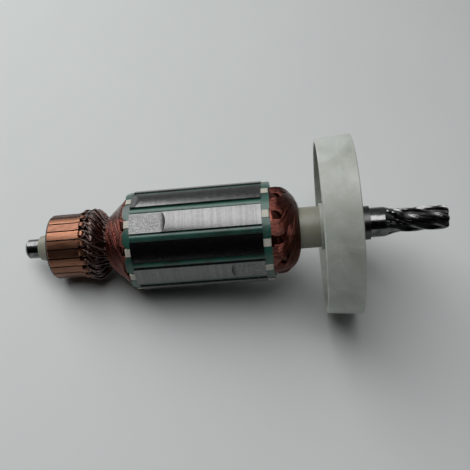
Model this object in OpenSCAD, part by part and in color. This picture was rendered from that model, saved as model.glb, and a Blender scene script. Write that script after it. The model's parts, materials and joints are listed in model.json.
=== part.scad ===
// Armature of a power tool motor: shaft with a cut pinion, slotted core, winding, commutator and fan.
// The shaft runs along +X. The origin is the middle of the commutator-end bearing journal.

/* [Shaft] */
// Diameter of the commutator-end bearing journal
commutator_journal_d = 8; // [7:0.1:9]
// Length of the commutator-end bearing journal
commutator_journal_len = 5; // [4:0.1:8]
// Chamfer at the commutator end of the shaft
shaft_end_chamfer = 0.8; // [0.3:0.1:1.2]
// Diameter of the shaft inside the core
core_seat_d = 10; // [9.4:0.1:11]
// Diameter of the drive-end bearing journal
drive_journal_d = 12; // [11.4:0.1:12.6]
// Length of the drive-end bearing journal
drive_journal_len = 5.8; // [5:0.1:10]
// How much thicker than its journal each pressed seat is, across the shaft
seat_step = 0.5; // [0.4:0.05:0.7]

/* [Pinion] */
// Number of teeth
pinion_teeth = 7; // [5:1:11]
// Outside diameter of the teeth
pinion_d = 9.7; // [8.5:0.1:11.5]
// Depth of the teeth
tooth_depth = 2.1; // [1.5:0.05:2.5]
// Length of the toothed end, with the run-out of the cutter
pinion_len = 25; // [20:0.5:32]
// Helix angle at the middle of the teeth, right-handed
helix_angle = 20; // [5:1:30]
// Radius of the cutter that leaves the run-out
cutter_r = 12.6; // [8:0.2:20]
// Length of the taper behind the teeth
pinion_taper_len = 3.9; // [2:0.1:6]

/* [Shaft insulation] */
// Length of the nose that stands out of the commutator
nose_len = 6.4; // [4:0.1:10]
// Diameter at the tip of the nose
nose_tip_d = 10.2; // [9.6:0.1:11]
// Diameter of the tube inside the commutator
commutator_seat_d = 12.6; // [12:0.1:14]
// Diameter of the tube inside the core
core_tube_d = 14.4; // [13:0.1:16]
// Diameter of the collar on the drive side of the core
collar_d = 16.8; // [15.5:0.1:18.5]

/* [Commutator] */
// Number of bars
bar_count = 22; // [18:1:26]
// Diameter of the brush track
brush_track_d = 26.6; // [24:0.1:32]
// Length of the brush track
brush_track_len = 11.8; // [8:0.1:16]
// Height of the unturned riser above the brush track
riser_step = 0.3; // [0.1:0.05:0.6]
// Length of the riser between the brush track and the hooks
riser_len = 1.5; // [1:0.1:3]
// Width of the gap between bars, at the brush track
bar_gap = 0.55; // [0.3:0.05:0.9]
// Depth of the gap between bars
bar_undercut = 0.9; // [0.4:0.1:1.6]
// Depth of a bar below the brush track, without its dovetail foot
bar_depth = 2.5; // [2:0.1:3.5]
// Depth of the dovetail foot of a bar
foot_depth = 1.4; // [0.8:0.1:2]
// Distance from the end of a bar to the neck of its dovetail
foot_neck = 2.6; // [2:0.1:3.5]
// Distance from the end of a bar to the toe of its dovetail
foot_toe = 1.6; // [1:0.1:1.9]
// Width of a hook
hook_w = 1.7; // [1.2:0.1:2.2]
// Outside radius of the curl of a hook
hook_curl_r = 1.45; // [1.2:0.05:1.8]
// Thickness of a hook
hook_t = 0.8; // [0.5:0.05:1]
// Thickness of the moulded ring in front of the bars
front_ring_t = 0.5; // [0.3:0.1:1.5]
// Thickness of the moulded ring behind the hooks
back_ring_t = 2.4; // [1.5:0.1:4]

/* [Core] */
// Diameter of the lamination stack
core_d = 40.8; // [36:0.1:50]
// Length of the lamination stack
core_len = 51.6; // [30:0.5:90]
// Distance from the back of the commutator to the core
commutator_to_core = 17.4; // [15:0.1:26]
// Number of slots
slot_count = 11; // [9:1:13]
// Width of the slot opening at the rim
slot_opening = 3.4; // [2.4:0.1:4]
// Width of a tooth below its tip
tooth_w = 3.4; // [2.6:0.1:4.2]
// Thickness of the tooth tips
tooth_tip_t = 1.1; // [0.8:0.1:2]
// Thickness of the ring between the bore and the slots
yoke_t = 3.8; // [2.8:0.1:5]
// Depth of the balancing cuts
balance_cut_depth = 0.5; // [0.2:0.1:1]
// Radius of the milling cutter of the balancing cuts
balance_cutter_r = 6; // [4:0.5:10]
// Length of the balancing cut on the commutator side, at full depth
balance_cut_front_len = 12; // [2:0.5:20]
// Length of the balancing cut on the drive side, at full depth
balance_cut_back_len = 11; // [2:0.5:20]
// Length of the small balancing nick beside the first cut, at full depth
balance_cut_nick_len = 1; // [0.5:0.5:10]

/* [Insulation of the core] */
// Thickness of the end insulator on the commutator side
end_insulator_front_t = 2.3; // [1.5:0.1:4]
// Thickness of the end insulator on the drive side
end_insulator_back_t = 3; // [1.5:0.1:4]
// Width of the arms of the end insulators
insulator_arm_w = 3; // [2:0.1:3.2]
// How far the insulator arms stay below the rim of the core
insulator_inset = 0.4; // [0.2:0.1:1]
// Thickness of the slot liners
liner_t = 0.3; // [0.15:0.05:0.5]
// How far the liners stand out of the core
liner_cuff = 1.7; // [0.5:0.1:2.2]
// Thickness of the slot wedges
wedge_t = 0.55; // [0.3:0.05:0.8]
// How far the wedges reach past the end insulators on the commutator side
wedge_overhang_front = 0.6; // [0.2:0.1:1.5]
// How far the wedges reach past the end insulators on the drive side
wedge_overhang_back = 0.2; // [0.1:0.1:1.5]
// Corner radius of the wedge ends on the commutator side
wedge_corner_front = 2.6; // [0.5:0.1:2.8]
// Corner radius of the wedge ends on the drive side
wedge_corner_back = 0.8; // [0.5:0.1:2.8]

/* [Winding] */
// Length of the end turns on the drive side
end_turns_back_len = 11.2; // [8:0.1:16]
// Radius of the rounding of the drive-side end turns
end_turns_round = 14.1; // [12:0.1:18]
// Smallest diameter of the winding, between the hooks and the end turns
neck_d = 20.5; // [19:0.1:24]
// Distance from the end insulator to the neck of the winding
neck_from_core = 11; // [8:0.1:14]
// Radius of the rounding of the lead ring behind the hooks
lead_ring_round = 4.4; // [3.5:0.1:5]
// Height of the lead ring above the brush track
lead_ring_rise = 1.7; // [1:0.1:2.5]

/* [Fan] */
// Distance from the core to the fan
core_to_fan = 22.5; // [18:0.1:30]
// Outside diameter of the fan on the core side
fan_d_front = 70.1; // [60:0.1:90]
// Outside diameter of the fan on the drive side
fan_d_back = 72.4; // [60:0.1:92]
// Width of the fan's ring
fan_w = 14; // [10:0.1:20]
// Wall thickness of the ring, the web and the blades
fan_wall = 1.4; // [1:0.1:2.5]
// Width of the air outlet between the web and the ring
fan_outlet_w = 9; // [6:0.1:12]
// Outside diameter of the hub
fan_hub_d = 19; // [17:0.1:24]
// Length of the hub
fan_hub_len = 17.1; // [14.5:0.1:22]
// Number of blades
blade_count = 11; // [7:1:15]
// Radius of the curve of a blade
blade_curve_r = 36; // [24:1:60]
// How far the blades are set back from the core side of the ring
blade_inset = 2.2; // [1:0.1:4]
// How far the blades are set back from the drive side of the ring
blade_outlet_inset = 0.6; // [0.2:0.1:2]

/* [Stop ring] */
// Outside diameter of the stop ring of the drive-end bearing
stop_ring_d = 13.7; // [13.2:0.1:16]
// Width of the stop ring
stop_ring_w = 2.6; // [1.5:0.1:4]

/* [Fits] */
// Clearance between pieces that slide together when the armature is built
slip_gap = 0.03; // [0.01:0.01:0.06]

/* [Hidden] */
function padded(i) = str(i < 10 ? "0" : "", i);

// Stations along the shaft
nose_x = commutator_journal_len / 2;
shaft_start_x = -nose_x - shaft_end_chamfer;
commutator_x = nose_x + nose_len;
bar_x = commutator_x + front_ring_t;
riser_x = bar_x + brush_track_len;
hook_x = riser_x + riser_len;
hook_len = 2 * hook_curl_r - 0.3;
back_ring_x = hook_x + hook_len;
commutator_end_x = back_ring_x + back_ring_t;
core_x = commutator_end_x + commutator_to_core;
core_end_x = core_x + core_len;
insulator_x = core_x - end_insulator_front_t;
insulator_end_x = core_end_x + end_insulator_back_t;
fan_x = core_end_x + core_to_fan;
stop_ring_x = fan_x + fan_hub_len;
drive_journal_x = stop_ring_x + stop_ring_w;
pinion_x = drive_journal_x + drive_journal_len;
pinion_end_x = pinion_x + pinion_len;

// Radii
core_r = core_d / 2;
core_tube_r = core_tube_d / 2;
collar_r = collar_d / 2;
track_r = brush_track_d / 2;
riser_r = track_r + riser_step;
slot_bottom_r = core_tube_r + yoke_t;
slot_top_r = core_r - tooth_tip_t;
wedge_r = slot_top_r - slip_gap - wedge_t;
drive_seat_r = drive_journal_d / 2 + seat_step / 2;
commutator_side_r = commutator_journal_d / 2 + seat_step / 2;

slot_pitch = 360 / slot_count;
bar_pitch = 360 / bar_count;
bar_gap_angle = 2 * asin(bar_gap / 2 / track_r);
bar_angle = bar_pitch - bar_gap_angle;
bar_foot_r = track_r - bar_depth;
back_ring_r = track_r - bar_undercut - 0.2;
big = 4 * core_d;

$fn = 64;

// Turns a shape drawn in the Y-Z plane, and extruded or revolved along Z, so that it lies along +X
module along_x(x = 0) translate([x, 0, 0]) rotate([90, 0, 90]) children();

module ring(r_out, r_in, x, len) along_x(x) linear_extrude(len) difference() {
    circle(r_out);
    circle(r_in);
}

// ---- Shaft and pinion ----

pinion_r = pinion_d / 2;
pinion_root_r = pinion_r - tooth_depth;
pinion_pitch_r = pinion_r - tooth_depth / 2;
tooth_pitch = 360 / pinion_teeth;
pinion_overlap = 0.5;
pinion_skin = 0.02;
pinion_end_chamfer = 0.5;
pinion_rings = 26;

// Half of a tooth as [share of the tooth pitch, share of the tooth depth]
half_tooth = [[0.09, 1], [0.18, 0.76], [0.29, 0.38], [0.41, 0.05], [0.5, 0]];
tooth_outline = concat(
    [for (i = [3:-1:0]) [-half_tooth[i][0], half_tooth[i][1]]],
    [for (i = [0:4]) half_tooth[i]]);
twist_per_mm = tan(helix_angle) / pinion_pitch_r * 180 / PI;

// Depth that the cutter has left uncut at x: it climbs out of the shaft along its own radius
full_depth_x = pinion_x + sqrt(pow(cutter_r, 2)
    - pow(cutter_r - (drive_journal_d / 2 - pinion_root_r), 2));
function runout(x) = x >= full_depth_x ? 0
    : cutter_r - sqrt(max(0, pow(cutter_r, 2) - pow(full_depth_x - x, 2)));
// Blank that the teeth are cut in: journal, taper, outside diameter, end chamfer
function blank_r(x) =
    x <= pinion_x ? drive_journal_d / 2 - pinion_skin
    : x < pinion_x + pinion_taper_len
        ? drive_journal_d / 2 - pinion_skin
            - (drive_journal_d / 2 - pinion_skin - pinion_r) * (x - pinion_x) / pinion_taper_len
    : min(pinion_r, pinion_r - pinion_end_chamfer + (pinion_end_x - x));
function pinion_point(x, tooth, corner) =
    let (a = (tooth + corner[0]) * tooth_pitch + (x - pinion_x) * twist_per_mm,
         r = min(blank_r(x), pinion_root_r + corner[1] * tooth_depth + runout(x)))
    [x, r * cos(a), r * sin(a)];
function ring_x(i) =
    i == 0 ? pinion_x - pinion_overlap
    : i == pinion_rings ? pinion_end_x
    : pinion_x + (pinion_len - pinion_end_chamfer) * (i - 1) / (pinion_rings - 2);

module pinion_body() {
    n = pinion_teeth * len(tooth_outline);
    points = [for (i = [0:pinion_rings], t = [0:pinion_teeth - 1], c = tooth_outline)
        pinion_point(ring_x(i), t, c)];
    sides = [for (i = [0:pinion_rings - 1], j = [0:n - 1], half = [0, 1])
        let (a = i * n + j, b = i * n + (j + 1) % n)
        half == 0 ? [a, a + n, b] : [b, a + n, b + n]];
    start_cap = [[for (j = [0:n - 1]) j]];
    end_cap = [[for (j = [n - 1:-1:0]) pinion_rings * n + j]];
    polyhedron(points, concat(sides, start_cap, end_cap));
}

module shaft() color([0.36, 0.36, 0.38]) {
    along_x() rotate_extrude() polygon([
        [0, shaft_start_x],
        [commutator_journal_d / 2 - shaft_end_chamfer, shaft_start_x],
        [commutator_journal_d / 2, shaft_start_x + shaft_end_chamfer],
        [commutator_journal_d / 2, nose_x],
        [commutator_side_r, nose_x],
        [commutator_side_r, commutator_end_x],
        [core_seat_d / 2, commutator_end_x],
        [core_seat_d / 2, fan_x],
        [drive_seat_r, fan_x],
        [drive_seat_r, drive_journal_x],
        [drive_journal_d / 2, drive_journal_x],
        [drive_journal_d / 2, pinion_x],
        [0, pinion_x]]);
    pinion_body();
}

// ---- Insulation between the shaft and the rest ----

module shaft_insulation() color([0.72, 0.74, 0.66]) along_x() rotate_extrude() polygon([
    [commutator_side_r, nose_x],
    [nose_tip_d / 2 - 0.3, nose_x],
    [nose_tip_d / 2, nose_x + 0.3],
    [commutator_seat_d / 2, commutator_x],
    [commutator_seat_d / 2, commutator_end_x],
    [core_tube_r, commutator_end_x],
    [core_tube_r, core_end_x],
    [collar_r, core_end_x],
    [collar_r, fan_x],
    [core_seat_d / 2, fan_x],
    [core_seat_d / 2, commutator_end_x],
    [commutator_side_r, commutator_end_x]]);

// ---- Core ----

// A slot with sides parallel to its teeth and a round bottom, pointing to +Y in its drawing.
// It is shrunk by inset on all sides, and reaches up to top_r.
module slot_outline(inset, top_r) {
    half_pitch = slot_pitch / 2;
    side_offset = tooth_w / 2 + inset;
    bottom = slot_bottom_r + inset;
    apex = side_offset / sin(half_pitch);
    round_y = (bottom - side_offset) / (1 - sin(half_pitch));
    round_r = round_y - bottom;
    tangent_y = round_y - round_r * sin(half_pitch);
    tangent_x = round_r * cos(half_pitch);
    far_x = (core_d - apex) * tan(half_pitch);
    intersection() {
        circle(top_r);
        union() {
            translate([0, round_y]) circle(round_r);
            polygon([[-tangent_x, tangent_y], [tangent_x, tangent_y], [far_x, core_d], [-far_x, core_d]]);
        }
    }
}

module around(i, count) rotate([360 * i / count, 0, 0]) children();

// A milled balancing cut across the tooth at angle, from x_a to x_b; open_end is -1, 0 or 1
module balancing_cut(angle, x_a, x_b) {
    floor_z = core_r - balance_cut_depth;
    rotate([angle, 0, 0]) {
        translate([x_a, -core_r / 2, floor_z]) cube([x_b - x_a, core_r, core_r]);
        for (x = [x_a, x_b])
            translate([x, core_r / 2, floor_z + balance_cutter_r])
                rotate([90, 0, 0]) cylinder(r = balance_cutter_r, h = core_r);
    }
}

module lamination_stack() color([0.62, 0.62, 0.63]) difference() {
    along_x(core_x) linear_extrude(core_len) difference() {
        circle(core_r);
        circle(core_tube_r);
        for (i = [0:slot_count - 1]) rotate(i * slot_pitch) {
            slot_outline(0, slot_top_r);
            translate([-slot_opening / 2, slot_top_r - tooth_tip_t])
                square([slot_opening, core_r]);
        }
    }
    balancing_cut(0.5 * slot_pitch, core_x - balance_cutter_r, core_x + balance_cut_front_len);
    balancing_cut(2.5 * slot_pitch, core_end_x - balance_cut_back_len, core_end_x + balance_cutter_r);
    balancing_cut(-0.5 * slot_pitch, core_x - balance_cutter_r, core_x + balance_cut_nick_len);
}

// ---- Core insulation ----

// Star-shaped plate with one arm on each tooth; its outer side faces away from the core
module end_insulator(bore_r, thickness) {
    arm_r = core_r - insulator_inset;
    edge_round = 0.6;
    intersection() {
        linear_extrude(thickness) {
            difference() {
                circle(slot_bottom_r - slip_gap);
                circle(bore_r);
            }
            for (i = [0:slot_count - 1]) rotate((i + 0.5) * slot_pitch)
                translate([-insulator_arm_w / 2, bore_r + 1]) square([insulator_arm_w, core_r]);
        }
        rotate_extrude() {
            square([arm_r - edge_round, thickness]);
            square([arm_r, thickness - edge_round]);
            translate([arm_r - edge_round, thickness - edge_round]) circle(edge_round);
        }
    }
}

module commutator_end_insulator() color([0.93, 0.92, 0.88])
    along_x(core_x) mirror([0, 0, 1]) end_insulator(core_tube_r, end_insulator_front_t);

module drive_end_insulator() color([0.93, 0.92, 0.88])
    along_x(core_end_x) end_insulator(collar_r, end_insulator_back_t);

// U-shaped paper liner that stands out of the core a little at both ends
module slot_liner(i) color([0.16, 0.36, 0.31]) around(i - 1, slot_count)
    along_x(core_x - liner_cuff) linear_extrude(core_len + 2 * liner_cuff) difference() {
        slot_outline(slip_gap, wedge_r);
        slot_outline(slip_gap + liner_t, core_d);
    }

// Wedge that closes a slot: a strip under the tooth tips, a ridge in the slot opening,
// and wide rounded tongues that stand out at both ends
wedge_tongue_rise = 0.45;
tongue_r = slot_top_r + wedge_tongue_rise;
tongue_half_angle = slot_pitch / 2 - asin((insulator_arm_w / 2 + slip_gap) / wedge_r);

// Plan view of a tongue: a strip of the given reach with two rounded corners
module tongue_plan(reach, corner) {
    w = tongue_r * sin(tongue_half_angle);
    translate([0, -w]) square([reach - corner, 2 * w]);
    translate([0, -w + corner]) square([reach, 2 * (w - corner)]);
    for (side = [-1, 1]) translate([reach - corner, side * (w - corner)]) circle(corner);
}

module tongue(reach, corner) intersection() {
    along_x() linear_extrude(reach) intersection() {
        difference() {
            circle(tongue_r);
            circle(wedge_r);
        }
        polygon([[0, 0], [-big * tan(tongue_half_angle), big], [big * tan(tongue_half_angle), big]]);
    }
    linear_extrude(core_d) tongue_plan(reach, corner);
}

module slot_wedge(i) color([0.18, 0.42, 0.36]) around(i - 1, slot_count) {
    ridge_r = (slot_opening - 2 * slip_gap) / 2 + 0.25;
    along_x(core_x) linear_extrude(core_len) {
        difference() {
            slot_outline(slip_gap, slot_top_r - slip_gap);
            circle(wedge_r);
        }
        intersection() {
            translate([0, core_r - 0.4 - ridge_r]) circle(ridge_r);
            translate([-slot_opening / 2 + slip_gap, wedge_r + wedge_t / 2])
                square([slot_opening - 2 * slip_gap, core_r]);
        }
    }
    translate([core_end_x, 0, 0]) tongue(end_insulator_back_t + wedge_overhang_back, wedge_corner_back);
    translate([core_x, 0, 0]) mirror([1, 0, 0])
        tongue(end_insulator_front_t + wedge_overhang_front, wedge_corner_front);
}

// ---- Winding ----

winding_r = wedge_r - slip_gap;
coil_inset = 2 * slip_gap + liner_t;
coil_sunk = 0.5;
lead_ring_x = back_ring_x + 0.4;
lead_ring_r = track_r + lead_ring_rise;

// Coil sides in the slots; they run on a little inside the end turns
module slot_sides() along_x(insulator_x - coil_sunk)
    linear_extrude(insulator_end_x - insulator_x + 2 * coil_sunk)
        for (i = [0:slot_count - 1]) rotate(i * slot_pitch)
            slot_outline(coil_inset, winding_r - coil_sunk / 2);

// Domed end turns around the collar
module drive_end_turns() along_x() rotate_extrude() intersection() {
    translate([collar_r + slip_gap, insulator_end_x]) square([winding_r - collar_r, end_turns_back_len]);
    translate([winding_r - end_turns_round + 0.3, insulator_end_x - end_turns_round * 0.22])
        circle(end_turns_round);
}

// Cone of end turns that narrows towards the commutator, and the ring of leads behind the hooks
module commutator_end_turns() along_x() rotate_extrude() {
    inner_r = core_tube_r + slip_gap;
    neck_x = insulator_x - neck_from_core;
    polygon([
        [inner_r, commutator_end_x + slip_gap],
        [neck_d / 2, commutator_end_x + slip_gap],
        [neck_d / 2, neck_x],
        [winding_r, insulator_x - 0.6],
        [winding_r, insulator_x],
        [inner_r, insulator_x]]);
    intersection() {
        translate([lead_ring_r - lead_ring_round, lead_ring_x + 0.5]) circle(lead_ring_round);
        translate([track_r - bar_undercut, lead_ring_x]) square(lead_ring_round + riser_step);
    }
    translate([neck_d / 2 - 0.5, commutator_end_x + slip_gap])
        square([track_r - neck_d / 2, lead_ring_round - back_ring_t]);
}

module winding() color([0.27, 0.11, 0.08]) {
    slot_sides();
    drive_end_turns();
    commutator_end_turns();
}

// ---- Commutator ----

// A bar seen from the side, with a step to its riser, a saddle under its hook and a dovetail foot
module bar_outline() {
    saddle_r = track_r - bar_undercut;
    polygon([
        [bar_foot_r, bar_x],
        [track_r - 0.3, bar_x],
        [track_r, bar_x + 0.3],
        [track_r, riser_x],
        [riser_r, riser_x],
        [riser_r, hook_x],
        [saddle_r, hook_x],
        [saddle_r, back_ring_x],
        [bar_foot_r, back_ring_x],
        [bar_foot_r, back_ring_x - foot_neck],
        [bar_foot_r - foot_depth, back_ring_x - foot_toe],
        [bar_foot_r - foot_depth, bar_x + foot_toe],
        [bar_foot_r, bar_x + foot_neck]]);
}

module bar_body(i) around(i - 1, bar_count)
    along_x() rotate([0, 0, 90 - bar_angle / 2]) rotate_extrude(angle = bar_angle) bar_outline();

// Hook curled back over the wire, and closed on the riser
module hook() {
    eye_x = hook_x + hook_curl_r - 0.3;
    eye_r = track_r - 0.1;
    rotate([90, 0, 0]) linear_extrude(hook_w, center = true) {
        difference() {
            translate([eye_x, eye_r]) circle(hook_curl_r);
            translate([eye_x, eye_r]) circle(hook_curl_r - hook_t);
            translate([hook_x, 0]) square([hook_len, track_r - bar_undercut - 0.3]);
        }
        translate([eye_x + hook_curl_r - hook_t, track_r - bar_undercut - 0.3])
            square([hook_t, bar_undercut + 0.2]);
    }
}

module commutator_bar(i) color([0.72, 0.42, 0.27]) {
    bar_body(i);
    around(i - 1, bar_count) hook();
}

// Moulding between two bars, seen from the side; it ends inside the rings in front of and behind the bars
module web_outline() {
    outer_r = track_r - bar_undercut;
    root_r = commutator_seat_d / 2 + 1;
    sunk = 0.2;
    polygon([
        [root_r, bar_x - sunk],
        [outer_r, bar_x - sunk],
        [outer_r, hook_x],
        [back_ring_r - sunk, hook_x],
        [back_ring_r - sunk, back_ring_x + sunk],
        [root_r, back_ring_x + sunk]]);
}

// Grooved ring that grips the feet of the bars, with a web in each gap between bars
module commutator_moulding() color([0.08, 0.08, 0.08]) {
    along_x() rotate_extrude() polygon([
        [commutator_seat_d / 2, commutator_x],
        [track_r - 0.5, commutator_x],
        [track_r - 0.5, bar_x],
        [bar_foot_r, bar_x],
        [bar_foot_r, bar_x + foot_neck],
        [bar_foot_r - foot_depth, bar_x + foot_toe],
        [bar_foot_r - foot_depth, back_ring_x - foot_toe],
        [bar_foot_r, back_ring_x - foot_neck],
        [bar_foot_r, back_ring_x],
        [back_ring_r, back_ring_x],
        [back_ring_r, commutator_end_x],
        [commutator_seat_d / 2, commutator_end_x]]);
    for (i = [0:bar_count - 1]) around(i + 0.5, bar_count)
        along_x() rotate([0, 0, 90 - bar_gap_angle / 2])
            rotate_extrude(angle = bar_gap_angle) web_outline();
}

// ---- Fan: one moulding, drawn as the hub with its web, the blades, and the ring round the blades ----

fan_front_r = fan_d_front / 2;
fan_back_r = fan_d_back / 2;
fan_hub_r = fan_hub_d / 2;
web_r = fan_back_r - fan_outlet_w;
web_z = fan_w - fan_wall;

// Inner radius of the ring at a distance from its core side
function ring_bore_r(z) = fan_front_r - fan_wall + (fan_back_r - fan_front_r) * z / fan_w;

// A blade seen along the shaft: a curved plate from the hub to the ring
module blade_outline() {
    half_chord = (fan_front_r - fan_hub_r) / 2;
    intersection() {
        translate([fan_hub_r + half_chord, -sqrt(pow(blade_curve_r, 2) - pow(half_chord, 2))])
            difference() {
                circle(blade_curve_r);
                circle(blade_curve_r - fan_wall);
            }
        translate([0, -fan_wall - 2]) square([fan_back_r, fan_hub_r]);
    }
}

// Space that the blades fill, between the hub, the web and the ring
module blade_passage() rotate_extrude() polygon([
    [fan_hub_r, blade_inset + 2],
    [ring_bore_r(blade_inset), blade_inset],
    [ring_bore_r(fan_w - blade_outlet_inset), fan_w - blade_outlet_inset],
    [web_r, fan_w - blade_outlet_inset],
    [web_r, web_z],
    [fan_hub_r, web_z]]);

module cooling_fan() color([0.88, 0.9, 0.87]) along_x(fan_x) rotate_extrude() polygon([
    [drive_seat_r, 0],
    [fan_hub_r, 0],
    [fan_hub_r, web_z],
    [web_r, web_z],
    [web_r, fan_w],
    [fan_hub_r, fan_w],
    [stop_ring_d / 2 + 1, fan_hub_len],
    [drive_seat_r, fan_hub_len]]);

module fan_blades() color([0.88, 0.9, 0.87]) along_x(fan_x) intersection() {
    linear_extrude(fan_w) for (i = [0:blade_count - 1])
        rotate(i * 360 / blade_count) blade_outline();
    blade_passage();
}

module fan_ring() color([0.88, 0.9, 0.87]) along_x(fan_x) rotate_extrude() polygon([
    [fan_front_r - fan_wall, 0],
    [fan_front_r - 0.3, 0],
    [fan_front_r, 0.3],
    [fan_back_r, fan_w - 0.3],
    [fan_back_r - 0.3, fan_w],
    [fan_back_r - fan_wall, fan_w]]);

module bearing_stop_ring() color([0.2, 0.2, 0.21])
    ring(stop_ring_d / 2, drive_seat_r, stop_ring_x, stop_ring_w);

// ---- Pieces ----

shaft();
shaft_insulation();
lamination_stack();
commutator_end_insulator();
drive_end_insulator();
for (i = [1:slot_count]) {
    slot_liner(i);
    slot_wedge(i);
}
winding();
commutator_moulding();
for (i = [1:bar_count])
    commutator_bar(i);
cooling_fan();
fan_blades();
fan_ring();
bearing_stop_ring();
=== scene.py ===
"""Motor armature: the finish of every piece, the wires of its winding, and its table, light and camera."""

import json
import math
import random

import bpy
from mathutils import Matrix, Vector


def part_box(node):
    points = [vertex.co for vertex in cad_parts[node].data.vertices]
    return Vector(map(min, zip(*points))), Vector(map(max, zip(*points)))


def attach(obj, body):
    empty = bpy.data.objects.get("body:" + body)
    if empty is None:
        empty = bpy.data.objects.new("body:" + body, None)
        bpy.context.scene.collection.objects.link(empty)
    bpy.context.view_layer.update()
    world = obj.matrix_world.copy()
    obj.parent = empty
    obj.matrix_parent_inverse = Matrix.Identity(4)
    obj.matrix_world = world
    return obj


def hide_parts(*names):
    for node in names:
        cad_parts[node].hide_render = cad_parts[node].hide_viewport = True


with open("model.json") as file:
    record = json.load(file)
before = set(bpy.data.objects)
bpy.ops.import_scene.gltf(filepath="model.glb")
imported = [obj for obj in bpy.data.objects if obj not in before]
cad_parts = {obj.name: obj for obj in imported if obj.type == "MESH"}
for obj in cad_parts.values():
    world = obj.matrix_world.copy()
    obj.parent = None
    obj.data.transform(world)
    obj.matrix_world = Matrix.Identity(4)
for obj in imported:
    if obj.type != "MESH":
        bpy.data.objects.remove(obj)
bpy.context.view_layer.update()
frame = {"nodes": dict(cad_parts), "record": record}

MM = 0.001
FLOAT = "NodeSocketFloat"
VECTOR = "NodeSocketVector"
rng = random.Random(11)


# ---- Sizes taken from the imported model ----

core_lo, core_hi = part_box("lamination_stack")
core_front_x, core_back_x = core_lo[0], core_hi[0]
core_r = core_hi[2]
front_insulator_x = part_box("commutator_end_insulator")[0][0]
back_insulator_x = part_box("drive_end_insulator")[1][0]
winding_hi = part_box("winding")[1]
winding_end_x = winding_hi[0]
winding_r = winding_hi[1]
moulding_end_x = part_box("commutator_moulding")[1][0]
hook_end_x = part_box("commutator_bar_01")[1][0]
fan_ring_lo, fan_ring_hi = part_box("fan_ring")

slot_count = sum(name.startswith("slot_wedge_") for name in frame["nodes"])
bar_count = sum(name.startswith("commutator_bar_") for name in frame["nodes"])
slot_pitch = math.tau / slot_count
bar_pitch = math.tau / bar_count
coil_span = slot_count // 2


# ---- Shader building ----

def add(tree, kind, inputs=None, **settings):
    """A shader node with its settings; an input is a value or the socket that feeds it."""
    node = tree.nodes.new(kind)
    for key, value in settings.items():
        setattr(node, key, value)
    for key, value in (inputs or {}).items():
        feed(tree, node.inputs[key], value)
    return node


def feed(tree, socket, value):
    """Links a socket to another one, or sets its value."""
    if isinstance(value, bpy.types.NodeSocket):
        tree.links.new(value, socket)
    else:
        socket.default_value = value


def calc(tree, operation, a, b=0.0):
    return add(tree, "ShaderNodeMath", {0: a, 1: b}, operation=operation).outputs[0]


def times(tree, a, b):
    return calc(tree, "MULTIPLY", a, b)


def plus(tree, a, b):
    return calc(tree, "ADD", a, b)


def blend(tree, factor, a, b):
    """Colour between a and b."""
    return add(tree, "ShaderNodeMix", {0: factor, 6: a, 7: b}, data_type="RGBA").outputs[2]


def spread(tree, value, low, high, to_low=0.0, to_high=1.0):
    """Value mapped from one range to another and clamped."""
    inputs = {"Value": value, "From Min": low, "From Max": high, "To Min": to_low, "To Max": to_high}
    return add(tree, "ShaderNodeMapRange", inputs).outputs[0]


def split(tree, vector):
    """The x, y and z of a vector."""
    return add(tree, "ShaderNodeSeparateXYZ", {0: vector}).outputs


def join(tree, x, y, z):
    return add(tree, "ShaderNodeCombineXYZ", {0: x, 1: y, 2: z}).outputs[0]


def position(tree):
    return tree.nodes.new("ShaderNodeTexCoord").outputs["Object"]


def noise(tree, vector, scale, detail=3.0, roughness=0.5, distortion=0.0):
    inputs = {"Vector": vector, "Scale": scale, "Detail": detail, "Roughness": roughness,
              "Distortion": distortion}
    return add(tree, "ShaderNodeTexNoise", inputs).outputs[0]


def own_value(tree, number):
    """A random value that is the same all over one sheet or bar."""
    return add(tree, "ShaderNodeTexWhiteNoise", {"W": number}, noise_dimensions="1D").outputs["Value"]


def raised(tree, height):
    """Normal of a surface that stands up by a height in metres."""
    return add(tree, "ShaderNodeBump", {"Strength": 1.0, "Distance": 1.0, "Height": height}).outputs[0]


def rgb(red, green, blue):
    return (red, green, blue, 1.0)


def effect(name, inputs, outputs, build):
    """A node group: inputs are name: default, outputs are name: socket type, build fills it."""
    group = bpy.data.node_groups.new(name, "ShaderNodeTree")
    for key, default in inputs.items():
        socket = group.interface.new_socket(key, in_out="INPUT", socket_type=FLOAT)
        socket.default_value = default
    for key, kind in outputs.items():
        group.interface.new_socket(key, in_out="OUTPUT", socket_type=kind)
    given = group.nodes.new("NodeGroupInput")
    result = group.nodes.new("NodeGroupOutput")
    for key, socket in build(group, given.outputs).items():
        group.links.new(socket, result.inputs[key])
    return group


def use(tree, group, **inputs):
    """Outputs of a node group; an input's name has spaces where the keyword has underscores."""
    node = tree.nodes.new("ShaderNodeGroup")
    node.node_tree = group
    for key, value in inputs.items():
        feed(tree, node.inputs[key.replace("_", " ")], value)
    return node.outputs


# ---- Effects shared by several materials ----

def build_shaft_coordinates(tree, given):
    """Station along the shaft, distance from its axis, and turns round it from +Z."""
    x, y, z = split(tree, position(tree))
    radius = calc(tree, "SQRT", plus(tree, times(tree, y, y), times(tree, z, z)))
    turn = calc(tree, "DIVIDE", calc(tree, "ARCTAN2", y, z), math.tau)
    return {"Along": x, "Radius": radius, "Turn": turn}


shaft_coordinates = effect("shaft coordinates", {}, {"Along": FLOAT, "Radius": FLOAT, "Turn": FLOAT},
                           build_shaft_coordinates)


def build_turning_marks(tree, given):
    """Fine rings round the shaft, as a lathe or grinder leaves them, broken up along the turn."""
    where = use(tree, shaft_coordinates)
    ring = calc(tree, "DIVIDE", where["Along"], given["Spacing"])
    drift = times(tree, where["Turn"], given["Breakup"])
    mark = noise(tree, join(tree, ring, drift, where["Radius"]), 1.0, detail=2.0)
    return {"Mask": mark, "Normal": raised(tree, times(tree, mark, given["Depth"]))}


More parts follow.
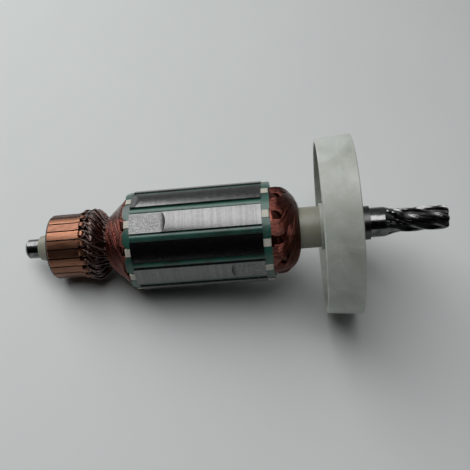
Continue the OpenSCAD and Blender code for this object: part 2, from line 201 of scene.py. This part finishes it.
turning_marks = effect("turning marks", {"Spacing": 0.15 * MM, "Breakup": 6.0, "Depth": 0.004 * MM},
                       {"Mask": FLOAT, "Normal": VECTOR}, build_turning_marks)


def build_stains(tree, given):
    """Soft-edged patches that cover a share of the surface."""
    value = noise(tree, position(tree), given["Scale"], detail=5.0, roughness=0.6, distortion=0.4)
    low = calc(tree, "SUBTRACT", 0.62, times(tree, given["Coverage"], 0.3))
    high = plus(tree, low, given["Softness"])
    return {"Mask": spread(tree, value, low, high)}


stains = effect("stains", {"Scale": 120.0, "Coverage": 0.5, "Softness": 0.15}, {"Mask": FLOAT},
                build_stains)


def build_moulded_skin(tree, given):
    """Slight unevenness of a moulded or pressed surface, and its cloudiness."""
    fine = noise(tree, position(tree), given["Grain Scale"], detail=4.0)
    cloud = noise(tree, position(tree), given["Cloud Scale"], detail=2.0)
    return {"Cloud": cloud, "Grain": fine, "Normal": raised(tree, times(tree, fine, given["Depth"]))}


moulded_skin = effect("moulded skin", {"Grain Scale": 900.0, "Cloud Scale": 60.0, "Depth": 0.02 * MM},
                      {"Cloud": FLOAT, "Grain": FLOAT, "Normal": VECTOR}, build_moulded_skin)


def build_wire_tone(tree, given):
    """Tone that differs from wire to wire, with patches where varnish lies thicker."""
    own = add(tree, "ShaderNodeNewGeometry").outputs["Random Per Island"]
    patch = noise(tree, position(tree), given["Patch Scale"], detail=3.0)
    tone = plus(tree, times(tree, own, 0.6), times(tree, patch, 0.5))
    lumps = noise(tree, position(tree), 1400.0, detail=2.0)
    return {"Tone": tone, "Normal": raised(tree, times(tree, lumps, given["Lump Depth"]))}


wire_tone = effect("wire tone", {"Patch Scale": 260.0, "Lump Depth": 0.05 * MM},
                   {"Tone": FLOAT, "Normal": VECTOR}, build_wire_tone)


# ---- Materials ----

def material(name, build):
    """A material whose Principled shader gets the inputs that build returns."""
    made = bpy.data.materials.new(name)
    made.use_nodes = True
    tree = made.node_tree
    shader = tree.nodes["Principled BSDF"]
    for key, value in build(tree).items():
        feed(tree, shader.inputs[key], value)
    return made


def ground_steel(tree):
    """Fine grinding marks under a thin, patchy film of oil."""
    marks = use(tree, turning_marks, Spacing=0.09 * MM, Depth=0.002 * MM)
    film = use(tree, stains, Scale=260.0, Coverage=0.7, Softness=0.25)["Mask"]
    colour = blend(tree, film, rgb(0.20, 0.20, 0.20), rgb(0.07, 0.07, 0.07))
    rough = spread(tree, marks["Mask"], 0.3, 0.7, 0.12, 0.24)
    return {"Base Color": colour, "Metallic": 1.0, "Roughness": rough, "Normal": marks["Normal"]}


def blackened_steel(tree):
    marks = use(tree, turning_marks, Spacing=0.2 * MM, Depth=0.004 * MM)
    colour = blend(tree, marks["Mask"], rgb(0.05, 0.05, 0.05), rgb(0.12, 0.12, 0.12))
    return {"Base Color": colour, "Metallic": 1.0, "Roughness": 0.3, "Normal": marks["Normal"]}


def core_steel(tree):
    """Edges of stacked sheets, each of its own tone; the balancing cuts are matte and granular; surfaces
    tilted along the shaft get painted shade.
    """
    where = use(tree, shaft_coordinates)
    sheet_thickness = 0.5 * MM
    stack = calc(tree, "DIVIDE", where["Along"], sheet_thickness)
    sheet = own_value(tree, calc(tree, "FLOOR", stack))
    off_middle = calc(tree, "ABSOLUTE", calc(tree, "SUBTRACT", calc(tree, "FRACT", stack), 0.5))
    seam = spread(tree, off_middle, 0.34, 0.5)

    streak_vector = join(tree, times(tree, where["Along"], 900.0), times(tree, where["Turn"], 90.0), 0.0)
    streak = noise(tree, streak_vector, 1.0, detail=5.0, roughness=0.7)
    tone = plus(tree, times(tree, sheet, 0.22), times(tree, streak, 0.8))
    ground = blend(tree, tone, rgb(0.075, 0.075, 0.075), rgb(0.23, 0.23, 0.23))

    grain = noise(tree, position(tree), 2600.0, detail=3.0, roughness=0.6)
    speck = spread(tree, grain, 0.40, 0.62)
    cut = blend(tree, speck, rgb(0.085, 0.085, 0.085), rgb(0.24, 0.24, 0.24))
    milled = spread(tree, where["Radius"], core_r - 0.10 * MM, core_r - 0.06 * MM, 1.0, 0.0)
    surface = blend(tree, milled, ground, cut)

    # Painted shade: surfaces that tilt along the shaft, such as the ends of the balancing cuts and the
    # stack's end faces, are darkened towards near-black as if they turned away from the light.
    facing = split(tree, add(tree, "ShaderNodeTexCoord").outputs["Normal"])
    painted_tilt_shade = spread(tree, calc(tree, "ABSOLUTE", facing[0]), 0.06, 0.34)
    height = calc(tree, "SUBTRACT", times(tree, grain, 0.010 * MM), times(tree, seam, 0.012 * MM))
    smooth = spread(tree, streak, 0.3, 0.7, 0.15, 0.26)
    return {"Base Color": blend(tree, painted_tilt_shade, surface, rgb(0.04, 0.04, 0.04)), "Metallic": 1.0,
            "Roughness": plus(tree, smooth, times(tree, milled, 0.16)), "Normal": raised(tree, height)}


def bar_copper(tree):
    """Turned copper: each bar has its own tarnish, with rings from the lathe and brush smears."""
    where = use(tree, shaft_coordinates)
    marks = use(tree, turning_marks, Spacing=0.22 * MM, Breakup=3.0, Depth=0.006 * MM)
    bar_number = calc(tree, "ROUND", times(tree, where["Turn"], float(bar_count)))
    smear_vector = join(tree, times(tree, where["Along"], 220.0), times(tree, where["Turn"], 130.0),
                        bar_number)
    smear = noise(tree, smear_vector, 1.0, detail=4.0, roughness=0.6)
    tarnish = plus(tree, times(tree, own_value(tree, bar_number), 0.55), times(tree, smear, 0.6))
    amount = spread(tree, tarnish, 0.3, 0.85)
    colour = blend(tree, amount, rgb(0.32, 0.150, 0.092), rgb(0.085, 0.042, 0.032))
    rough = spread(tree, smear, 0.3, 0.7, 0.26, 0.44)
    return {"Base Color": colour, "Metallic": 1.0, "Roughness": rough, "Normal": marks["Normal"]}


def slot_fibre(tree):
    """Green vulcanised fibre under a thin coat of varnish."""
    skin = use(tree, moulded_skin, Grain_Scale=700.0, Cloud_Scale=90.0, Depth=0.04 * MM)
    drip = use(tree, stains, Scale=110.0, Coverage=0.5)["Mask"]
    fresh = blend(tree, skin["Cloud"], rgb(0.009, 0.058, 0.042), rgb(0.022, 0.108, 0.080))
    colour = blend(tree, times(tree, drip, 0.6), fresh, rgb(0.010, 0.022, 0.018))
    rough = spread(tree, skin["Grain"], 0.3, 0.7, 0.28, 0.45)
    return {"Base Color": colour, "Roughness": rough, "Normal": skin["Normal"],
            "Coat Weight": 0.35, "Coat Roughness": 0.12}


def white_moulding(tree):
    """End insulators: off-white plastic that lets a little light in."""
    skin = use(tree, moulded_skin, Grain_Scale=1100.0, Cloud_Scale=240.0, Depth=0.02 * MM)
    colour = blend(tree, skin["Cloud"], rgb(0.38, 0.37, 0.31), rgb(0.58, 0.56, 0.49))
    return {"Base Color": colour, "Roughness": 0.42, "Normal": skin["Normal"],
            "Subsurface Weight": 0.15, "Subsurface Radius": (1.0, 0.9, 0.8),
            "Subsurface Scale": 0.6 * MM}


def cream_moulding(tree):
    """Glass-filled tube of a pale green-grey cream, with dirty patches."""
    skin = use(tree, moulded_skin, Grain_Scale=800.0, Cloud_Scale=130.0, Depth=0.03 * MM)
    dirt = use(tree, stains, Scale=90.0, Coverage=0.5, Softness=0.3)["Mask"]
    clean = blend(tree, skin["Cloud"], rgb(0.20, 0.20, 0.155), rgb(0.31, 0.31, 0.255))
    colour = blend(tree, times(tree, dirt, 0.45), clean, rgb(0.24, 0.22, 0.15))
    return {"Base Color": colour, "Roughness": 0.38, "Normal": skin["Normal"]}


def fan_nylon(tree):
    """Natural nylon: milky, slightly see-through and cloudy, with faint flow marks."""
    skin = use(tree, moulded_skin, Grain_Scale=500.0, Cloud_Scale=42.0, Depth=0.02 * MM)
    flow = noise(tree, position(tree), 70.0, detail=4.0, roughness=0.6, distortion=1.6)
    cloud = plus(tree, times(tree, skin["Cloud"], 0.5), times(tree, flow, 0.5))
    milky = spread(tree, cloud, 0.36, 0.62)
    colour = blend(tree, milky, rgb(0.33, 0.355, 0.310), rgb(0.51, 0.535, 0.500))
    return {"Base Color": colour, "Roughness": 0.34, "Normal": skin["Normal"],
            "Subsurface Weight": 0.5, "Subsurface Radius": (1.0, 1.0, 0.95),
            "Subsurface Scale": 2.0 * MM}


def black_phenolic(tree):
    skin = use(tree, moulded_skin, Grain_Scale=900.0, Cloud_Scale=200.0, Depth=0.02 * MM)
    colour = blend(tree, skin["Cloud"], rgb(0.010, 0.009, 0.009), rgb(0.030, 0.028, 0.026))
    return {"Base Color": colour, "Roughness": 0.45, "Normal": skin["Normal"]}


def wire_enamel(tree):
    """Red-brown enamelled copper wire under glossy varnish."""
    wire = use(tree, wire_tone, Patch_Scale=240.0)
    colour = blend(tree, wire["Tone"], rgb(0.014, 0.0035, 0.003), rgb(0.20, 0.046, 0.028))
    return {"Base Color": colour, "Roughness": 0.2, "Metallic": 0.92, "Normal": wire["Normal"],
            "Coat Weight": 0.35, "Coat Roughness": 0.08}


def lead_varnish(tree):
    """Leads buried in near-black varnish."""
    wire = use(tree, wire_tone, Patch_Scale=420.0, Lump_Depth=0.12 * MM)
    colour = blend(tree, wire["Tone"], rgb(0.006, 0.003, 0.0025), rgb(0.10, 0.035, 0.023))
    return {"Base Color": colour, "Roughness": 0.22, "Metallic": 0.85, "Normal": wire["Normal"],
            "Coat Weight": 1.0, "Coat Roughness": 0.05}


materials = {
    "steel": material("ground steel", ground_steel),
    "dark_steel": material("blackened steel", blackened_steel),
    "core_steel": material("core steel", core_steel),
    "copper": material("bar copper", bar_copper),
    "green_fibre": material("slot fibre", slot_fibre),
    "white_plastic": material("white moulding", white_moulding),
    "cream_plastic": material("cream moulding", cream_moulding),
    "fan_plastic": material("fan nylon", fan_nylon),
    "black_moulding": material("black phenolic", black_phenolic),
    "enamelled_wire": material("wire enamel", wire_enamel),
}
lead_material = material("lead varnish", lead_varnish)

slot_of = {piece["node"]: piece["material_slot"] for piece in frame["record"]["subparts"]}
for name, node in frame["nodes"].items():
    node.data.materials.clear()
    node.data.materials.append(materials[slot_of[name]])


# ---- Wires and turned rings as meshes ----

def place(x, radius, turn):
    """A point at a station, radius and angle round the shaft; angle 0 is +Z."""
    return Vector((x, -radius * math.sin(turn), radius * math.cos(turn)))


def smoothed(path, rounds=1):
    """The path with its corners cut, ends kept."""
    for _ in range(rounds):
        cut = [path[0]]
        for a, b in zip(path, path[1:]):
            cut += [a.lerp(b, 0.25), a.lerp(b, 0.75)]
        path = cut + [path[-1]]
    return path


def add_tube(verts, faces, path, radius, sides=6):
    """One wire swept along its path, with closed ends."""
    start = len(verts)
    normal = Vector((0.3, 0.5, 0.8))
    for i, point in enumerate(path):
        ahead = path[min(i + 1, len(path) - 1)] - path[max(i - 1, 0)]
        ahead.normalize()
        normal = (normal - ahead * normal.dot(ahead)).normalized()
        across = ahead.cross(normal)
        for s in range(sides):
            angle = math.tau * s / sides
            verts.append(point + (normal * math.cos(angle) + across * math.sin(angle)) * radius)
    for i in range(len(path) - 1):
        for s in range(sides):
            a = start + i * sides + s
            b = start + i * sides + (s + 1) % sides
            faces.append((a, b, b + sides, a + sides))
    last = start + (len(path) - 1) * sides
    faces.append(tuple(start + s for s in reversed(range(sides))))
    faces.append(tuple(last + s for s in range(sides)))


def add_turned_ring(verts, faces, outline, steps=96):
    """A closed ring turned round the shaft from (x, radius) points.

    The outline's outer side runs towards the commutator, so that the faces look outwards.
    """
    start = len(verts)
    count = len(outline)
    for k in range(steps):
        for x, radius in outline:
            verts.append(place(x, radius, math.tau * k / steps))
    for k in range(steps):
        here = start + k * count
        beyond = start + (k + 1) % steps * count
        for i in range(count):
            after = (i + 1) % count
            faces.append((here + i, here + after, beyond + after, beyond + i))


def make_wire_piece(name, verts, faces, finish):
    mesh = bpy.data.meshes.new(name)
    mesh.from_pydata([tuple(v) for v in verts], [], faces)
    mesh.update()
    mesh.shade_smooth()
    mesh.materials.append(finish)
    piece = bpy.data.objects.new(name, mesh)
    bpy.context.scene.collection.objects.link(piece)
    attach(piece, "root")
    return piece


# ---- End turns: the wires that go from slot to slot over both ends of the core ----

wire_r = 0.30 * MM
wire_r_spread = 0.06
lanes = 15                       # wires side by side in the bundle of one coil
layers = 2
bundle_half_width = 3.135 * MM   # measured round the outside of the winding
bundle_depth = 4.8 * MM          # from the wire closest to the shaft to the outermost one
into_slot = 0.5 * MM             # how far a wire's ends reach into its slots
straight_out = 1.6 * MM          # how far it leaves the slot before it turns
end_turn_steps = 16
wander = 0.06 * MM

collar_r = 8.4 * MM              # shaft insulation on the drive side
tube_r = 7.2 * MM                # shaft insulation inside the core and commutator
dome_round = 14.1 * MM           # rounding of the drive-side end turns
dome_round_r = winding_r - dome_round + 0.3 * MM
dome_round_x = back_insulator_x - 0.22 * dome_round
cone_gap = 0.6 * MM              # between the insulator and the cone's widest turns
cone_length = 11.0 * MM
neck_r = 10.25 * MM


def dome_x(radius):
    """Station of the drive-side end turns' surface at a radius."""
    reach = math.sqrt(max(dome_round ** 2 - (radius - dome_round_r) ** 2, 0.0))
    return min(dome_round_x + reach, winding_end_x)


def cone_x(radius):
    """Station of the commutator-side end turns' surface at a radius."""
    share = (winding_r - radius) / (winding_r - neck_r)
    return front_insulator_x - cone_gap - (cone_length - cone_gap) * share


def end_turn(coil, lane, layer, surface_x, inner_r, side, bulge):
    """Path of one wire from its slot, over the end of the core and into the slot nearly half a turn on.

    lane runs from -1, close to the shaft, to 1, the outside of the bundle; side is 1 on the drive side;
    bulge is how far the topmost wires stand out of the modelled surface.
    """
    half_turn = coil_span * slot_pitch / 2
    middle = coil * slot_pitch + half_turn
    swing = half_turn - lane * bundle_half_width / winding_r
    low_r = inner_r + (lane + 1) / 2 * bundle_depth + layer * 0.2 * MM
    slot_r = winding_r - 1.0 * MM - layer * 0.5 * MM - abs(lane) * 0.3 * MM
    later_coils = slot_count - 1 - coil
    core_face = core_back_x if side > 0 else core_front_x
    in_slot_x = core_face - side * into_slot
    out_of_slot_x = core_face + side * straight_out

    path = [place(in_slot_x, slot_r, middle - swing), place(out_of_slot_x, slot_r, middle - swing)]
    for i in range(end_turn_steps + 1):
        share = i / end_turn_steps
        off_middle = 2 * share - 1
        radius = low_r + (slot_r - low_r) * abs(off_middle) ** 1.9
        depth = 0.8 * MM * (1 - share) + later_coils * 0.03 * MM + layer * 0.45 * MM - bulge
        sag = 0.12 * MM * math.sin(5.0 * share + coil + 3.0 * lane)
        path.append(place(surface_x(radius) - side * (depth + sag), radius, middle + off_middle * swing))
    path += [place(out_of_slot_x, slot_r, middle + swing), place(in_slot_x, slot_r, middle + swing)]
    return path


def add_end_turns(verts, faces, surface_x, inner_r, side, bulge):
    """Every coil's bundle of wires on one end of the core."""
    for coil in range(slot_count):
        for layer in range(layers):
            for lane_number in range(lanes):
                lane = 2 * lane_number / (lanes - 1) - 1 + rng.uniform(-0.05, 0.05)
                path = end_turn(coil, lane, layer, surface_x, inner_r, side, bulge)
                path = [point + Vector([rng.uniform(-wander, wander) for _ in range(3)]) for point in path]
                radius = wire_r * rng.uniform(1 - wire_r_spread, 1 + wire_r_spread)
                add_tube(verts, faces, smoothed(path), radius)


def drive_end_turns():
    """Wires of the domed end, with a solid ring under them so that no gap shows through."""
    verts, faces = [], []
    outer_r = winding_r - 1.0 * MM
    face_x = core_back_x + 0.3 * MM
    outline = [(face_x, collar_r), (face_x, outer_r)]
    rounding_steps = 8
    for i in range(rounding_steps + 1):
        radius = outer_r - (outer_r - collar_r) * i / rounding_steps
        outline.append((dome_x(radius + 0.4 * MM) - 1.0 * MM, radius))
    add_turned_ring(verts, faces, outline[::-1])
    add_end_turns(verts, faces, dome_x, collar_r + 0.4 * MM, 1, 1.1 * MM)
    return make_wire_piece("drive_end_turns", verts, faces, materials["enamelled_wire"])


def commutator_end_turns():
    """Wires of the coned end, with a solid ring under them."""
    verts, faces = [], []
    face_x = core_front_x - 0.3 * MM
    outline = [(face_x, tube_r), (face_x, winding_r - 2.6 * MM),
               (cone_x(winding_r - 2.4 * MM) + 1.2 * MM, winding_r - 3.0 * MM),
               (cone_x(neck_r) + 0.4 * MM, neck_r - 1.4 * MM), (cone_x(neck_r) - 1.0 * MM, tube_r)]
    add_turned_ring(verts, faces, outline)
    add_end_turns(verts, faces, cone_x, neck_r + 0.4 * MM, -1, -wire_r)
    return make_wire_piece("commutator_end_turns", verts, faces, materials["enamelled_wire"])


# ---- Leads: wound round each hook, then gathered down to the neck ----

lead_r = 0.42 * MM
hook_x = hook_end_x - 0.95 * MM
track_r = 13.3 * MM              # copper that the brushes run on
strand_leans = (0.55, 0.30, 0.85, -0.25)

# Each point of a lead is a distance behind its hook and a radius, in mm
lead_route = [(1.4, 14.3), (2.6, 14.7), (4.0, 14.4), (5.3, 13.3), (6.4, 11.9), (7.6, 10.7), (9.0, 10.5),
              (10.9, 11.6)]

# Varnish under the leads: distance behind the moulding's end and radius, in mm
varnish_ring = [(0.1, 12.3), (0.1, 7.2), (8.0, 7.2), (8.0, 9.4), (5.5, 9.2), (3.4, 10.0), (2.2, 12.0),
                (1.0, 13.5), (-0.4, 13.9), (-1.9, 13.4), (-2.0, 12.3)]


def hook_turns(turn):
    """Two loose turns of wire round the foot of a hook."""
    points_per_turn = 9
    last = 2 * points_per_turn
    path = []
    for i in range(last + 1):
        angle = math.tau * i / points_per_turn + 1.2
        across = 1.25 * MM * math.sin(angle) / track_r
        x = hook_x + 0.35 * MM + 1.05 * MM * math.cos(angle)
        path.append(place(x, track_r - 0.1 * MM + i / last * 0.9 * MM, turn + across))
    return path


def lead(turn, lean, depth):
    """A lead from its hook over the ring of leads and down to the neck, depth under the outermost one."""
    path = []
    for i, (behind, radius) in enumerate(lead_route):
        share = i / (len(lead_route) - 1)
        off_route = rng.uniform(-0.12, 0.12) * MM
        path.append(place(hook_x + behind * MM, radius * MM - depth + off_route, turn + lean * share))
    return path


def hook_leads():
    """The turns on every hook, four strands from each, and the varnish they are buried in."""
    verts, faces = [], []
    outline = [(moulding_end_x + behind * MM, radius * MM) for behind, radius in varnish_ring]
    add_turned_ring(verts, faces, outline)
    for bar in range(bar_count):
        turn = bar * bar_pitch
        add_tube(verts, faces, smoothed(hook_turns(turn)), lead_r, sides=7)
        for strand, strand_lean in enumerate(strand_leans):
            lean = strand_lean + rng.uniform(-0.12, 0.12)
            offset = (strand - 1.5) * 0.045
            path = lead(turn + offset, lean, strand * 0.28 * MM + rng.uniform(0, 0.3) * MM)
            add_tube(verts, faces, smoothed(path, 2), lead_r * rng.uniform(0.85, 1.0), sides=7)
    return make_wire_piece("hook_leads", verts, faces, lead_material)


for piece in (drive_end_turns(), commutator_end_turns(), hook_leads()):
    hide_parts("winding")


# ---- Table: it slopes down from the core's front edge to the fan ring's near edge ----

fan_ring_taper = 1.15 * MM       # how much smaller in radius the ring is at its near edge
table_gap = 0.1 * MM
table_half = 1.6

near_edge_r = fan_ring_hi[2] - fan_ring_taper
rest_slope = math.atan2(near_edge_r - core_r, fan_ring_lo[0] - core_front_x)
down_slope = Vector((math.cos(rest_slope), 0.0, -math.sin(rest_slope)))
across = Vector((0.0, 1.0, 0.0))
touch = Vector((core_front_x, 0.0, -core_r - table_gap))


def table_top(tree):
    """Pale laminate with a barely visible mottle."""
    mottle = noise(tree, position(tree), 14.0, detail=2.0)
    return {"Base Color": blend(tree, mottle, rgb(0.60, 0.625, 0.62), rgb(0.64, 0.665, 0.66)),
            "Roughness": 0.7, "Specular IOR Level": 0.25}


table_mesh = bpy.data.meshes.new("table_top")
corners = [touch + (down_slope * a + across * b) * table_half
           for a, b in ((-1, -1), (1, -1), (1, 1), (-1, 1))]
table_mesh.from_pydata([tuple(c) for c in corners], [], [(0, 1, 2, 3)])
table_mesh.materials.append(material("table top", table_top))
table = bpy.data.objects.new("table_top", table_mesh)
bpy.context.scene.collection.objects.link(table)


# ---- Light ----

aim = Vector((0.085, 0.0, 0.0))  # about the middle of the armature


def soft_light(name, elevation, azimuth, distance, width, height, power):
    """A rectangular lamp that faces the armature.

    elevation turns from the viewer's side up and over the top; azimuth leans it along the shaft.
    """
    lamp = bpy.data.lights.new(name, "AREA")
    lamp.shape = "RECTANGLE"
    lamp.size = width
    lamp.size_y = height
    lamp.energy = power
    way = Vector((math.sin(azimuth), -math.cos(elevation) * math.cos(azimuth),
                  math.sin(elevation) * math.cos(azimuth)))
    lamp_object = bpy.data.objects.new(name, lamp)
    lamp_object.location = aim + way * distance
    lamp_object.rotation_euler = (-way).to_track_quat("-Z", "X").to_euler()
    bpy.context.scene.collection.objects.link(lamp_object)


soft_light("overhead light", elevation=math.radians(109), azimuth=math.radians(-14), distance=0.72,
           width=1.5, height=0.50, power=7.3)

# The room is dark on the viewer's side and grey at the back; seen directly, it is as pale as the table
world = bpy.data.worlds.new("room")
world.use_nodes = True
room = world.node_tree
room_axes = split(room, room.nodes.new("ShaderNodeTexCoord").outputs["Generated"])
back_share = spread(room, room_axes[1], -0.35, 0.75)
room_colour = blend(room, back_share, rgb(0.003, 0.003, 0.003), rgb(0.22, 0.225, 0.225))
seen_directly = room.nodes.new("ShaderNodeLightPath").outputs["Is Camera Ray"]
background = room.nodes["Background"]
feed(room, background.inputs["Color"], blend(room, seen_directly, room_colour, rgb(0.50, 0.525, 0.52)))
background.inputs["Strength"].default_value = 1.0
bpy.context.scene.world = world


# ---- Camera ----

view_elevation = math.radians(54.27)
view_distance = 0.27
view_station = 0.1084
view_yaw, view_pitch, view_roll = 0.0888, -0.0028, 0.0784

camera_data = bpy.data.cameras.new("camera")
camera_data.sensor_width = 36.0
camera_data.lens = 50.57
camera_data.clip_start = 0.01
turned = (Matrix.Rotation(view_yaw, 3, "Z") @ Matrix.Rotation(view_pitch, 3, "X")
          @ Matrix.Rotation(view_roll, 3, "Y"))
right, ahead, above = turned.col
lift = Matrix.Rotation(-view_elevation, 3, "X")
basis = Matrix((lift @ right, lift @ above, -(lift @ ahead))).transposed()
eye = lift @ Vector((0.0, -view_distance, 0.0)) + Vector((view_station, 0.0, 0.0))
camera = bpy.data.objects.new("camera", camera_data)
camera.matrix_world = Matrix.Translation(eye) @ basis.to_4x4()
bpy.context.scene.collection.objects.link(camera)
bpy.context.scene.camera = camera
bpy.context.scene.view_settings.view_transform = "Standard"
